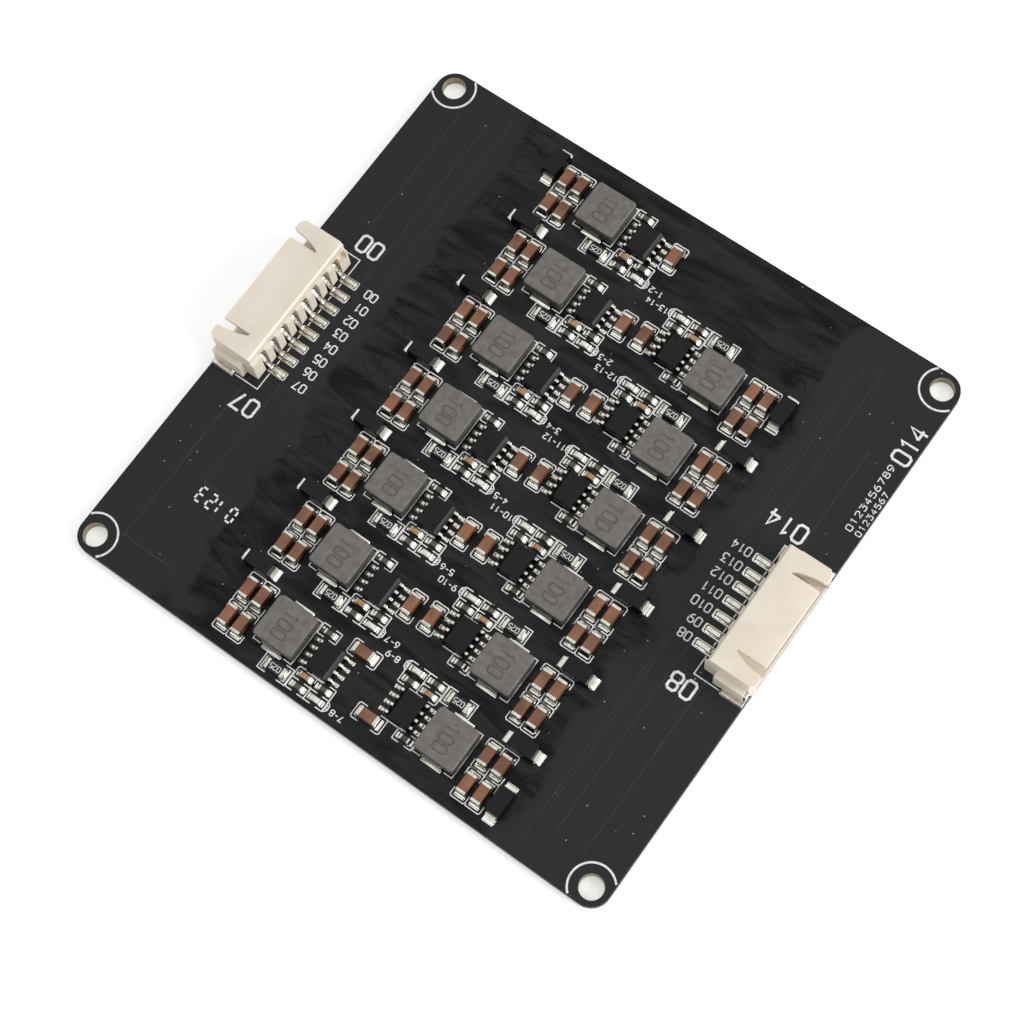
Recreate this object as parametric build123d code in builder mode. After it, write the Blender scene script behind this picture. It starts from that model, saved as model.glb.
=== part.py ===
# Active balancer board: a square circuit board that carries thirteen identical charge-moving
# channels in two columns, and a side-entry wire header on each of two opposite edges.
# Origin: centre of the board's underside. +Z rises through the components, +X points at the
# seven-way header and +Y runs along the channel columns. Sizes are in millimetres.
import os
from math import hypot

from build123d import *

os.makedirs("parts", exist_ok=True)

# Board
board_length = 93.0
board_width = 93.0
board_thickness = 1.6
board_corner_radius = 3.0
mounting_hole_diameter = 3.7
mounting_hole_inset = 2.75

# Channel grid: both columns share one row pitch, and the right column starts one row lower
channel_pitch = 13.0
left_channel_count = 7
right_channel_count = 6
left_column_x = -12.05
right_column_x = 16.07

# Power inductor
inductor_length = 6.8
inductor_width = 6.8
inductor_height = 2.6
inductor_corner_chamfer = 0.5
inductor_terminal_width = 3.4
inductor_terminal_foot_length = 0.7
inductor_terminal_rise = 1.3
inductor_terminal_thickness = 0.25

# Controller chip: a drafted eight-lead body with one bevelled long edge
controller_offset = (7.35, -0.5)
controller_length = 4.9
controller_width = 3.9
controller_standoff = 0.12
controller_height = 1.45
controller_draft = 7.0
controller_bevel = 0.45
lead_pitch = 1.27
lead_row_count = 4
lead_width = 0.42
lead_thickness = 0.21
lead_shoulder = 0.3
lead_slope = 0.25
lead_foot_length = 0.6

# Large ceramic capacitors: a two by two bank on the outer side, and one beside the controller
capacitor_length = 3.2
capacitor_width = 1.6
capacitor_height = 1.6
capacitor_band = 0.5
bank_offset = (-6.95, -0.8)
bank_pitch_x = 2.49
bank_pitch_y = 4.83
side_capacitor_offset = (12.3, -0.1)
last_row_capacitor_offset = (11.05, 3.5)

# Rectifier diodes: one lies above the bank of every channel but the first of each column
diode_length = 4.3
diode_width = 2.6
diode_height = 2.1
diode_draft = 6.0
diode_parting_height = 1.0
diode_lead_width = 1.7
diode_lead_foot_length = 0.75
diode_lead_rise = 0.95
diode_lead_thickness = 0.25
diode_offset = (-9.05, 5.5)
left_first_diode_offset = (-10.85, 2.6)
right_first_diode_offset = (-10.98, 1.5)
right_last_diode_offset = (-10.98, -2.64)

# Current-sense resistor
shunt_length = 3.2
shunt_width = 1.6
shunt_height = 0.6
shunt_band = 0.5
shunt_offset = (2.0, -5.4)

# Small chips: resistors, tan capacitor and indicator share one footprint
chip_length = 1.6
chip_width = 0.8
chip_band = 0.32
resistor_height = 0.45
bypass_height = 0.8
indicator_height = 0.6
indicator_pad_height = 0.25
upper_resistor_offset = (5.2, 3.02)
chip_grid_offset = (7.8, -4.85)
chip_grid_pitch_x = 3.24
chip_grid_pitch_y = 1.74

# Metal end caps stand this far proud of the body between them
band_proud = 0.03

# Side-entry headers, measured from the board edge and from the board's top face
left_contact_count = 8
right_contact_count = 7
contact_pitch = 2.5
housing_inset = 7.0
housing_overhang = 0.15
housing_height = 6.4
housing_end_length = 2.55
housing_wall = 0.8
housing_rear_wall = 1.5
housing_rear_bevel = 0.3
floor_setback = 0.8
ear_depth = 0.3
ear_length = 2.0
ear_corner_chamfer = 0.7
slot_start = 2.5
slot_width = 1.35
slot_offset = 0.25
slot_tip_width = 0.3
carrier_start = 1.65
carrier_end = 6.5
carrier_depth = 1.0
carrier_height = 3.4
step_depth = 0.45
step_height = 4.6
groove_width = 1.2
groove_clearance = 0.1
notch_gap = 0.9
notch_rim = 0.35
notch_depth = 1.0
notch_floor_height = 2.6

# Header contacts: square wire, bent inside a groove of the rear wall and sloping to a flat foot
contact_size = 0.64
contact_height = 2.9
contact_pin_length = 3.6
contact_bend_inset = 0.5
contact_ankle_depth = 1.2
contact_foot_length = 2.2

# Header solder tabs: a foot under the carrier and an upright in front of it
tab_start = 3.4
tab_end = 6.95
tab_thickness = 0.5
tab_width = 1.7
tab_upright_width = 0.9
tab_upright_height = 3.0

seated = (Align.CENTER, Align.CENTER, Align.MIN)
first_row_y = channel_pitch * (left_channel_count - 1) / 2
right_row_offset = left_channel_count - right_channel_count

# A channel is its inductor's centre and its side: 1 as drawn, -1 for the turned right column
left_channels = [
    (left_column_x, first_row_y - row * channel_pitch, 1)
    for row in range(left_channel_count)
]
right_channels = [
    (right_column_x, first_row_y - (row + right_row_offset) * channel_pitch, -1)
    for row in range(right_channel_count)
]
channels = left_channels + right_channels
last_row_channels = (left_channels[-1], right_channels[-1])


def turned_place(channel, offset, turn=0.0):
    # The right column's logic is the left column's turned half round about the inductor
    x, y, side = channel
    half_turn = 0 if side > 0 else 180
    return Location(
        (x + side * offset[0], y + side * offset[1], board_thickness), (0, 0, half_turn + turn)
    )


def mirrored_place(channel, offset, turn=0.0):
    # Capacitor banks and diodes are mirrored instead, so both stand above and outside
    x, y, side = channel
    return Location((x + side * offset[0], y + offset[1], board_thickness), (0, 0, turn))


def both_ends(places, distance):
    # Each end piece faces outwards along the component's own Y axis
    near = [place * Location((0, distance, 0)) for place in places]
    far = [place * Location((0, -distance, 0), (0, 0, 180)) for place in places]
    return near + far


def save(piece, name):
    piece.label = name
    export_step(piece, f"parts/{name}.step")


def chip_bodies(places, length, width, height, band):
    # The middle of a two-ended chip, lying along its own Y axis between two end caps
    with BuildPart() as bodies:
        with Locations(*[place * Location((0, 0, band_proud)) for place in places]):
            Box(width - 2 * band_proud, length - 2 * band, height - 2 * band_proud, align=seated)
    return bodies.part


def chip_caps(places, length, width, height, band):
    # The metal end caps of the same chip
    with BuildPart() as caps:
        with Locations(*both_ends(places, (length - band) / 2)):
            Box(width, band, height, align=seated)
    return caps.part


def angle_strip(width, foot_length, rise, thickness):
    # A sheet-metal L: a foot pointing along +Y and a riser that leans on the body's end face
    with BuildPart() as strip:
        with BuildSketch(Plane.YZ):
            with BuildLine():
                Polyline(
                    (0, 0),
                    (foot_length, 0),
                    (foot_length, thickness),
                    (thickness, thickness),
                    (thickness, rise),
                    (0, rise),
                    close=True,
                )
            make_face()
        extrude(amount=width / 2, both=True)
    return strip.part


# Circuit board with a mounting hole in each corner
with BuildPart() as circuit_board:
    with BuildSketch():
        RectangleRounded(board_length, board_width, board_corner_radius)
        with GridLocations(
            board_length - 2 * mounting_hole_inset, board_width - 2 * mounting_hole_inset, 2, 2
        ):
            Circle(mounting_hole_diameter / 2, mode=Mode.SUBTRACT)
    extrude(amount=board_thickness)
save(circuit_board.part, "circuit_board")

# Power inductors, one node each, and all their terminals
inductor_places = [turned_place(channel, (0, 0)) for channel in channels]
for number, place in enumerate(inductor_places, start=1):
    with BuildPart() as inductor:
        with BuildSketch(Plane(place)) as outline:
            Rectangle(inductor_width, inductor_length)
            chamfer(outline.vertices(), inductor_corner_chamfer)
        extrude(amount=inductor_height)
    save(inductor.part, f"inductor_{number:02d}")

inductor_terminal = angle_strip(
    inductor_terminal_width,
    inductor_terminal_foot_length,
    inductor_terminal_rise,
    inductor_terminal_thickness,
)
with BuildPart() as inductor_terminals:
    with Locations(*both_ends(inductor_places, inductor_length / 2)):
        add(inductor_terminal)
save(inductor_terminals.part, "inductor_terminals")

# Controller chips: drafted up and down from the parting plane where the leads come out
controller_places = [turned_place(channel, controller_offset) for channel in channels]
parting_height = controller_standoff + controller_height / 2
for number, place in enumerate(controller_places, start=1):
    with BuildPart() as controller:
        with BuildSketch(Plane(place).offset(parting_height)) as parting:
            Rectangle(controller_width, controller_length)
        extrude(amount=controller_height / 2, taper=controller_draft)
        extrude(to_extrude=parting.sketch, amount=-controller_height / 2, taper=controller_draft)
        top = controller.faces().sort_by(Axis.Z)[-1]
        bevelled_edge = top.edges().sort_by(Axis.X)[-1 if place.orientation.Z == 0 else 0]
        chamfer(bevelled_edge, controller_bevel)
    save(controller.part, f"controller_{number:02d}")

# One gull-wing lead, pointing along +Y from the body's side
shoulder_top = parting_height + lead_thickness / 2
shoulder_bottom = parting_height - lead_thickness / 2
ankle = lead_shoulder + lead_slope
with BuildPart() as gull_wing:
    with BuildSketch(Plane.YZ):
        with BuildLine():
            Polyline(
                (0, shoulder_bottom),
                (0, shoulder_top),
                (lead_shoulder, shoulder_top),
                (ankle, lead_thickness),
                (ankle + lead_foot_length, 0),
                (ankle - lead_thickness, 0),
                close=True,
            )
        make_face()
    extrude(amount=lead_width / 2, both=True)

lead_rows = [
    place * Location(((index - (lead_row_count - 1) / 2) * lead_pitch, 0, 0))
    for place in [spot * Location((0, 0, 0), (0, 0, 90)) for spot in controller_places]
    for index in range(lead_row_count)
]
with BuildPart() as controller_leads:
    with Locations(*both_ends(lead_rows, controller_width / 2)):
        add(gull_wing.part)
save(controller_leads.part, "controller_leads")

# Large ceramic capacitors: each channel's five bodies are one node
bank_spots = [(x * bank_pitch_x / 2, y * bank_pitch_y / 2) for x in (-1, 1) for y in (-1, 1)]
capacitor_places = []
for number, channel in enumerate(channels, start=1):
    places = [
        mirrored_place(channel, (bank_offset[0] + x, bank_offset[1] + y)) for x, y in bank_spots
    ]
    if channel in last_row_channels:
        places.append(turned_place(channel, last_row_capacitor_offset, turn=90))
    else:
        places.append(turned_place(channel, side_capacitor_offset))
    capacitor_places += places
    bodies = chip_bodies(
        places, capacitor_length, capacitor_width, capacitor_height, capacitor_band
    )
    save(bodies, f"capacitors_{number:02d}")
save(
    chip_caps(capacitor_places, capacitor_length, capacitor_width, capacitor_height, capacitor_band),
    "capacitor_end_caps",
)

# Rectifier diodes, lying across the columns except for the three that stand at their ends
diode_places = [
    mirrored_place(channel, diode_offset, turn=90)
    for channel in left_channels[1:] + right_channels[1:]
]
diode_places += [
    mirrored_place(left_channels[0], left_first_diode_offset),
    mirrored_place(right_channels[0], right_first_diode_offset),
    mirrored_place(right_channels[-1], right_last_diode_offset),
]
with BuildPart() as diode_body:
    with BuildSketch(Plane.XY.offset(diode_parting_height)) as diode_parting:
        Rectangle(diode_width, diode_length)
    extrude(amount=diode_height - diode_parting_height, taper=diode_draft)
    extrude(to_extrude=diode_parting.sketch, amount=-diode_parting_height)
with BuildPart() as diodes:
    with Locations(*diode_places):
        add(diode_body.part)
save(diodes.part, "diodes")

diode_lead = angle_strip(
    diode_lead_width, diode_lead_foot_length, diode_lead_rise, diode_lead_thickness
)
with BuildPart() as diode_leads:
    with Locations(*both_ends(diode_places, diode_length / 2)):
        add(diode_lead)
save(diode_leads.part, "diode_leads")

# Current-sense resistors
shunt_places = [turned_place(channel, shunt_offset, turn=90) for channel in channels]
shunt_size = (shunt_length, shunt_width, shunt_height, shunt_band)
save(chip_bodies(shunt_places, *shunt_size), "sense_resistors")
save(chip_caps(shunt_places, *shunt_size), "sense_resistor_end_caps")

# Small chips in a two by two grid: tan capacitor, resistor, resistor and indicator
grid_left = chip_grid_offset[0] - chip_grid_pitch_x / 2
grid_right = chip_grid_offset[0] + chip_grid_pitch_x / 2
grid_upper = chip_grid_offset[1] + chip_grid_pitch_y / 2
grid_lower = chip_grid_offset[1] - chip_grid_pitch_y / 2
resistor_spots = [upper_resistor_offset, (grid_right, grid_upper), (grid_left, grid_lower)]

resistor_places = [
    turned_place(channel, spot, turn=90) for channel in channels for spot in resistor_spots
]
resistor_size = (chip_length, chip_width, resistor_height, chip_band)
save(chip_bodies(resistor_places, *resistor_size), "chip_resistors")
save(chip_caps(resistor_places, *resistor_size), "chip_resistor_end_caps")

bypass_places = [turned_place(channel, (grid_left, grid_upper), turn=90) for channel in channels]
bypass_size = (chip_length, chip_width, bypass_height, chip_band)
save(chip_bodies(bypass_places, *bypass_size), "bypass_capacitors")
save(chip_caps(bypass_places, *bypass_size), "bypass_capacitor_end_caps")

indicator_places = [
    turned_place(channel, (grid_right, grid_lower), turn=90) for channel in channels
]
save(
    chip_bodies(indicator_places, chip_length, chip_width, indicator_height, chip_band),
    "indicators",
)
save(
    chip_caps(indicator_places, chip_length, chip_width, indicator_pad_height, chip_band),
    "indicator_end_caps",
)

# Header geometry that both sizes share, for a mouth that faces +X
rear_x = board_length / 2 - housing_inset
mouth_x = board_length / 2 + housing_overhang
cavity_floor_x = rear_x + housing_rear_wall
housing_depth = mouth_x - rear_x

# Where a contact bends: each corner on the underside lies this far forward of the one on top
bend_x = rear_x + contact_bend_inset
ankle_x = rear_x - contact_ankle_depth
leg_run = bend_x - ankle_x
leg_drop = contact_height - contact_size / 2
corner_shift = contact_size * (hypot(leg_run, leg_drop) - leg_run) / leg_drop
groove_floor_x = bend_x + corner_shift + groove_clearance


def contact_rows(contact_count):
    # Y positions of the contacts
    middle = (contact_count - 1) / 2
    return [(index - middle) * contact_pitch for index in range(contact_count)]


def header_housing(contact_count):
    # One moulding: a shroud open towards +X, latch slots, tab carriers and a stepped, grooved rear
    rows = contact_rows(contact_count)
    last_y = rows[-1]
    end_y = last_y + housing_end_length
    step_x = rear_x - step_depth
    with BuildPart() as housing:
        # Shroud block, with an ear at each end of the mouth
        with BuildSketch(Plane.XY.offset(board_thickness)) as block:
            with Locations((rear_x + housing_depth / 2, 0)):
                Rectangle(housing_depth, 2 * end_y)
            with Locations(
                (mouth_x, end_y - ear_length / 2), (mouth_x, ear_length / 2 - end_y)
            ):
                Rectangle(2 * ear_depth, ear_length)
            front_corners = block.vertices().group_by(Axis.X)[-1].sort_by(Axis.Y)
            chamfer([front_corners[0], front_corners[-1]], ear_corner_chamfer)
        extrude(amount=housing_height)
        rear_top = housing.faces().sort_by(Axis.Z)[-1].edges().sort_by(Axis.X)[0]
        chamfer(rear_top, housing_rear_bevel)

        # Tab carriers low on both ends, relieved underneath for the tabs
        with BuildSketch(Plane.XY.offset(board_thickness)):
            for side in (-1, 1):
                with Locations((rear_x + (carrier_start + carrier_end) / 2, side * end_y)):
                    Rectangle(carrier_end - carrier_start, 2 * carrier_depth)
        extrude(amount=carrier_height)
        with BuildSketch(Plane.XY.offset(board_thickness)):
            for side in (-1, 1):
                with Locations(
                    (rear_x + (tab_start + tab_end) / 2, side * (end_y + tab_width / 2))
                ):
                    Rectangle(tab_end - tab_start, tab_width)
        extrude(amount=tab_thickness, mode=Mode.SUBTRACT)

        # Step low on the rear, with a groove for each contact and a notch at one end
        with BuildSketch(Plane.XY.offset(board_thickness)):
            with Locations((rear_x, 0)):
                Rectangle(2 * step_depth, 2 * end_y)
        extrude(amount=step_height)
        with BuildSketch(Plane.XY.offset(board_thickness)):
            with Locations(*[((step_x + groove_floor_x) / 2, y) for y in rows]):
                Rectangle(groove_floor_x - step_x, groove_width)
        extrude(amount=step_height, mode=Mode.SUBTRACT)
        notch_width = housing_end_length - notch_gap - notch_rim
        with BuildSketch(Plane.XY.offset(board_thickness + step_height)):
            with Locations((step_x + notch_depth / 2, notch_rim + notch_width / 2 - end_y)):
                Rectangle(notch_depth, notch_width)
        extrude(amount=notch_floor_height - step_height, mode=Mode.SUBTRACT)

        # Socket, open at the mouth, where its floor ends short of the roof
        mouth_plane = Plane.YZ.offset(mouth_x + ear_depth)
        with BuildSketch(mouth_plane):
            with Locations((0, board_thickness + housing_height / 2)):
                Rectangle(2 * (end_y - housing_wall), housing_height - 2 * housing_wall)
        extrude(amount=-(mouth_x + ear_depth - cavity_floor_x), mode=Mode.SUBTRACT)
        with BuildSketch(mouth_plane):
            with Locations((0, board_thickness + housing_wall / 2)):
                Rectangle(2 * end_y, housing_wall)
        extrude(amount=-(ear_depth + floor_setback), mode=Mode.SUBTRACT)

        # Latch slots through the roof, pointed at the rear, curved outside and open at the mouth
        for side in (-1, 1):
            slot_x = rear_x + slot_start
            slot_y = last_y - slot_offset
            inner_y = side * (slot_y - slot_width / 2)
            outer_y = side * (slot_y + slot_width / 2)
            tip_y = inner_y + side * slot_tip_width
            with BuildSketch(Plane.XY.offset(board_thickness + housing_height)):
                with BuildLine():
                    Line((slot_x, tip_y), (slot_x, inner_y))
                    Line((slot_x, inner_y), (mouth_x, inner_y))
                    Line((mouth_x, inner_y), (mouth_x, outer_y))
                    TangentArc((mouth_x, outer_y), (slot_x, tip_y), tangent=(-1, 0))
                make_face()
            extrude(amount=-housing_wall, mode=Mode.SUBTRACT)

        # Square passages for the contacts through the rear wall
        with BuildSketch(Plane.YZ.offset(cavity_floor_x)):
            with Locations(*[(y, board_thickness + contact_height) for y in rows]):
                Rectangle(contact_size, contact_size)
        extrude(amount=groove_floor_x - cavity_floor_x, mode=Mode.SUBTRACT)
    return housing.part


def header_contacts(contact_count):
    # Square wires: pin in the socket, sloping leg in the groove, foot on the board
    pin_top = board_thickness + contact_height + contact_size / 2
    tip_x = cavity_floor_x + contact_pin_length
    toe_x = ankle_x - contact_foot_length
    with BuildPart() as contacts:
        for y in contact_rows(contact_count):
            with BuildSketch(Plane.XZ.offset(-y)):
                with BuildLine():
                    Polyline(
                        (tip_x, pin_top - contact_size),
                        (tip_x, pin_top),
                        (bend_x, pin_top),
                        (ankle_x, board_thickness + contact_size),
                        (toe_x, board_thickness + contact_size),
                        (toe_x, board_thickness),
                        (ankle_x + corner_shift, board_thickness),
                        (bend_x + corner_shift, pin_top - contact_size),
                        close=True,
                    )
                make_face()
            extrude(amount=contact_size / 2, both=True)
    return contacts.part


def header_tabs(contact_count):
    # Solder tabs: a foot that runs out from under the carrier, and an upright at its front
    end_y = contact_rows(contact_count)[-1] + housing_end_length
    with BuildPart() as tabs:
        for side in (-1, 1):
            with BuildSketch(Plane.XY.offset(board_thickness)):
                with Locations(
                    (rear_x + (tab_start + tab_end) / 2, side * (end_y + tab_width / 2))
                ):
                    Rectangle(tab_end - tab_start, tab_width)
            extrude(amount=tab_thickness)
            with BuildSketch(Plane.XY.offset(board_thickness)):
                with Locations(
                    (
                        rear_x + (carrier_end + tab_end) / 2,
                        side * (end_y + tab_upright_width / 2),
                    )
                ):
                    Rectangle(tab_end - carrier_end, tab_upright_width)
            extrude(amount=tab_upright_height)
    return tabs.part


# The right header as drawn, and the left one turned half round to face the other edge
for side_name, contact_count, turn in (
    ("right", right_contact_count, 0),
    ("left", left_contact_count, 180),
):
    pieces = {
        "housing": header_housing(contact_count),
        "contacts": header_contacts(contact_count),
        "tabs": header_tabs(contact_count),
    }
    for piece_name, piece in pieces.items():
        with BuildPart() as placed:
            add(piece, rotation=(0, 0, turn))
        save(placed.part, f"{side_name}_header_{piece_name}")
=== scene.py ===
import math

import bmesh
import bpy
import numpy as np
from mathutils import Matrix, Vector


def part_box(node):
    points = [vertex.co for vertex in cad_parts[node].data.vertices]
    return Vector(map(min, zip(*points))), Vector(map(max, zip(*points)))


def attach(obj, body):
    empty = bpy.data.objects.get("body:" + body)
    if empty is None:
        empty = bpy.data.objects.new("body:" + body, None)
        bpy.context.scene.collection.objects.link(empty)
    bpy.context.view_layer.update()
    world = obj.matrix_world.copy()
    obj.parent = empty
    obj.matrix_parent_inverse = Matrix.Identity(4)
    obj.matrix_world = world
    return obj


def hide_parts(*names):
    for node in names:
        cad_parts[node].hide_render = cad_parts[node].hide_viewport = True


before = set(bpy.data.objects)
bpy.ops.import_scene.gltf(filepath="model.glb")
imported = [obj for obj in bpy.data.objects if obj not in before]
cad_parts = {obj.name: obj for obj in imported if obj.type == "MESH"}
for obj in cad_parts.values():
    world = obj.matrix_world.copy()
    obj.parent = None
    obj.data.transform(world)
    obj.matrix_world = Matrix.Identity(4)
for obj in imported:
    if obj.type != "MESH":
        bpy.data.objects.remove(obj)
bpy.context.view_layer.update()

# Active balancer board: thirteen channels of small parts soldered to a black square board.
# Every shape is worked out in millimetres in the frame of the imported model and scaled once.
mm = 0.001
scene = bpy.context.scene
boardLow, boardHigh = (np.array(corner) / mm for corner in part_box("circuit_board"))
boardTop = boardHigh[2]
print("frame loaded, board top at", round(float(boardTop), 3), "mm")


def solidBoxes(nodeName):
    # Corners that share a place are merged, then each triangle hands round the lowest label of
    # its corners until nothing changes: what shares a label is one solid. Gives its two corners.
    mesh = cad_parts[nodeName].data
    places = np.empty(len(mesh.vertices) * 3, np.float32)
    mesh.vertices.foreach_get("co", places)
    mesh.calc_loop_triangles()
    triangles = np.empty(len(mesh.loop_triangles) * 3, np.int32)
    mesh.loop_triangles.foreach_get("vertices", triangles)
    corners, merged = np.unique(places.reshape(-1, 3), axis=0, return_inverse=True)
    triangles = merged.reshape(-1)[triangles].reshape(-1, 3)
    labels = np.arange(len(corners))
    while True:
        lowest = labels.copy()
        np.minimum.at(lowest, triangles.ravel(), np.repeat(labels[triangles].min(axis=1), 3))
        if (lowest == labels).all():
            break
        labels = lowest
    kinds = [corners[labels == label] / mm for label in np.unique(labels)]
    return np.array([(kind.min(axis=0), kind.max(axis=0)) for kind in kinds], float)


# A shape is an array of points and a list of face arrays, one array for each corner count
def joined(shapes):
    # All points in one array, with each shape's faces moved up by what stands before it
    points, faces, start = [], [], 0
    for shapePoints, faceArrays in shapes:
        points.append(shapePoints)
        faces += [array + start for array in faceArrays]
        start += len(shapePoints)
    return np.concatenate(points), faces


def copies(shape, places):
    # A place is x, y, z and a turn about Z in degrees: point times rotation plus shift
    points, faceArrays = shape
    x, y, z, turn = np.asarray(places, float).reshape(-1, 4).T[:, :, None]
    cos, sin = np.cos(np.radians(turn)), np.sin(np.radians(turn))
    ownX, ownY, ownZ = points.T
    moved = np.stack((ownX * cos - ownY * sin + x, ownX * sin + ownY * cos + y, ownZ + z), axis=-1)
    shift = np.arange(len(x))[:, None, None] * len(points)
    faces = [(array + shift).reshape(-1, array.shape[1]) for array in faceArrays]
    return moved.reshape(-1, 3), faces


def gridFaces(rows, columns, closed=False):
    # Quads between neighbours of a grid of points, with the last column joined to the first
    index = np.arange(rows * columns).reshape(rows, columns)
    right = np.roll(index, -1, axis=1) if closed else index[:, 1:]
    left = index if closed else index[:, :-1]
    return np.stack((left[:-1], right[:-1], right[1:], left[1:]), axis=-1).reshape(-1, 4)


def cappedRings(rings):
    # Rings of points, one above the other, joined by quads, with a flat face at each end
    rows, count = rings.shape[:2]
    ends = [np.arange(count)[None, ::-1], (rows - 1) * count + np.arange(count)[None]]
    return rings.reshape(-1, 3), [gridFaces(rows, count, closed=True)] + ends


def loopedRings(rings):
    # Rings of points joined by quads, and the last ring to the first
    rows, count = rings.shape[:2]
    return rings.reshape(-1, 3), [gridFaces(rows + 1, count, closed=True) % (rows * count)]


def roundRectangle(width, length, radius, steps=3):
    # Anticlockwise from the lower left. Each corner is an arc over a quarter turn: its centre
    # plus the radius times the outward direction.
    corners = np.array([(-1, -1), (1, -1), (1, 1), (-1, 1)])
    centres = corners * (width / 2 - radius, length / 2 - radius)
    angle = np.pi / 2 * (2 + np.arange(4)[:, None] + np.linspace(0, 1, steps + 1))
    directions = np.stack((np.cos(angle), np.sin(angle)), axis=-1).reshape(-1, 2)
    return np.repeat(centres, steps + 1, axis=0), directions, radius


def ringsOf(outline, insets, heights):
    # One ring of the outline for each height, drawn in by that height's inset
    centres, directions, radius = outline
    insets, heights = np.asarray(insets, float), np.asarray(heights, float)
    flat = centres[None] + (radius - insets)[:, None, None] * directions[None]
    levels = np.broadcast_to(heights[:, None, None], (*flat.shape[:2], 1))
    return np.concatenate((flat, levels), axis=-1)


def ringedBody(width, length, corner, steps, insets, heights):
    # A closed block: one ring of the rounded rectangle at each height, drawn in by its inset
    return cappedRings(ringsOf(roundRectangle(width, length, corner, steps), insets, heights))


def roundBlock(width, length, bottom, top, radius, steps=2):
    # Upright corners are arcs, and insets and heights follow quarter circles at both ends
    angle = np.linspace(0, np.pi / 2, steps + 1)
    far, near = radius * (1 - np.sin(angle)), radius * (1 - np.cos(angle))
    insets, heights = np.concatenate((far, near)), np.concatenate((bottom + near, top - far))
    return ringedBody(width, length, radius, steps, insets, heights)


def roundPath(points, radius, steps=4):
    # Each inner corner becomes a curve that touches both of its legs: share of the way squared
    # times one end, plus twice share times rest times the corner, plus rest squared times the
    # other. It takes a little less than half of the shorter leg at most.
    points = np.asarray(points, float)
    path = [points[0]]
    for before, corner, after in zip(points[:-2], points[1:-1], points[2:]):
        inward, onward = before - corner, after - corner
        lengths = np.linalg.norm(inward), np.linalg.norm(onward)
        inward, onward = inward / lengths[0], onward / lengths[1]
        half = np.arccos(np.clip(inward @ onward, -1, 1)) / 2
        reach = min(radius / math.tan(half), 0.49 * min(lengths))
        share = np.linspace(0, 1, steps + 1)[:, None]
        start, end = corner + inward * reach, corner + onward * reach
        path += list((1 - share) ** 2 * start + 2 * share * (1 - share) * corner + share**2 * end)
    path.append(points[-1])
    return np.array(path)


def carriedBar(path, width, thickness, edge, scales=None):
    # A flat bar's section, width across and thickness along the path's normal, is carried
    # along a path in the YZ plane: point is path plus normal times the section's height
    path = np.asarray(path, float)
    along = np.gradient(path, axis=0)
    along /= np.linalg.norm(along, axis=1, keepdims=True)
    normals = np.stack((-along[:, 1], along[:, 0]), axis=1)
    centres, directions, radius = roundRectangle(width, thickness, edge, 2)
    section = centres + radius * directions
    scale = np.ones(len(path)) if scales is None else scales
    x = section[None, :, 0] * scale[:, None]
    yz = path[:, None] + normals[:, None] * section[None, :, 1:] * scale[:, None, None]
    return cappedRings(np.concatenate((x[..., None], yz), axis=-1))


def inkLine(path, width, low, high):
    # A flat stroke: at each point of the path the left and right edges stand half a width off
    # along the mean of its two sides' normals, lengthened at a bend. Equal ends make a loop.
    path = np.asarray(path, float)
    closed = len(path) > 3 and np.allclose(path[0], path[-1])
    if closed:
        path = path[:-1]
    sides = np.roll(path, -1, axis=0) - path
    sides /= np.maximum(np.linalg.norm(sides, axis=1, keepdims=True), 1e-9)
    normals = np.stack((-sides[:, 1], sides[:, 0]), axis=1)
    before = np.roll(normals, 1, axis=0)
    if not closed:
        before[0], normals[-1] = normals[0], before[-1]
    leastSharpness = 0.5    # keeps the point of a narrow bend short
    sharpness = 1 + (before * normals).sum(axis=1, keepdims=True)
    across = (before + normals) / np.maximum(sharpness, leastSharpness) * width / 2
    edges = np.stack((path + across, path - across, path - across, path + across), axis=1)
    levels = np.broadcast_to(np.array([high, high, low, low])[:, None], (len(path), 4, 1))
    rings = np.concatenate((edges, levels), axis=-1)
    return loopedRings(rings) if closed else cappedRings(rings)


solderLook = {
    "stations": (0.0, 0.45, 0.75, 1.0),    # share of the way from the foot to the pad's edge
    "cornerPull": 0.06,    # how far the surface draws the pad's corners in
    "edgeHeight": 0.03,
}


def solderPad(padLow, padHigh, footLow, footHigh, peak, hollow=2.6):
    # Solder on a pad: full height under the part's foot, and outside it the height falls off
    # as (1 - share of the way to the pad's edge) to the power of the hollow
    share = np.array(solderLook["stations"])

    def stations(low, inner, outer, high):
        rise, fall = low + (inner - low) * share, outer + (high - outer) * (1 - share[::-1])
        return np.concatenate((rise, fall)), np.concatenate((1 - share, 1 - share[::-1]))

    xs, farX = stations(padLow[0], footLow[0], footHigh[0], padHigh[0])
    ys, farY = stations(padLow[1], footLow[1], footHigh[1], padHigh[1])
    x, y = np.meshgrid(xs, ys)
    shareX, shareY = np.meshgrid(farX, farY)
    away = np.minimum(np.hypot(shareX, shareY), 1)
    pull = 1 - solderLook["cornerPull"] * shareX**4 * shareY**4
    middle = np.add(padLow, padHigh) / 2
    x, y = middle[0] + (x - middle[0]) * pull, middle[1] + (y - middle[1]) * pull
    low = solderLook["edgeHeight"]
    z = low + (peak - low) * (1 - away) ** hollow
    rows, columns = x.shape
    top = np.stack((x, y, z), axis=-1).reshape(-1, 3)
    index = np.arange(rows * columns).reshape(rows, columns)
    rim = np.concatenate((index[0], index[1:, -1], index[-1, -2::-1], index[-2:0:-1, 0]))
    base = top[rim] * (1, 1, 0)
    lower = rows * columns + np.arange(len(rim))
    skirt = np.stack((np.roll(rim, -1), rim, lower, np.roll(lower, -1)), axis=-1)
    return np.concatenate((top, base)), [gridFaces(rows, columns), skirt, lower[None, ::-1]]


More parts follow.
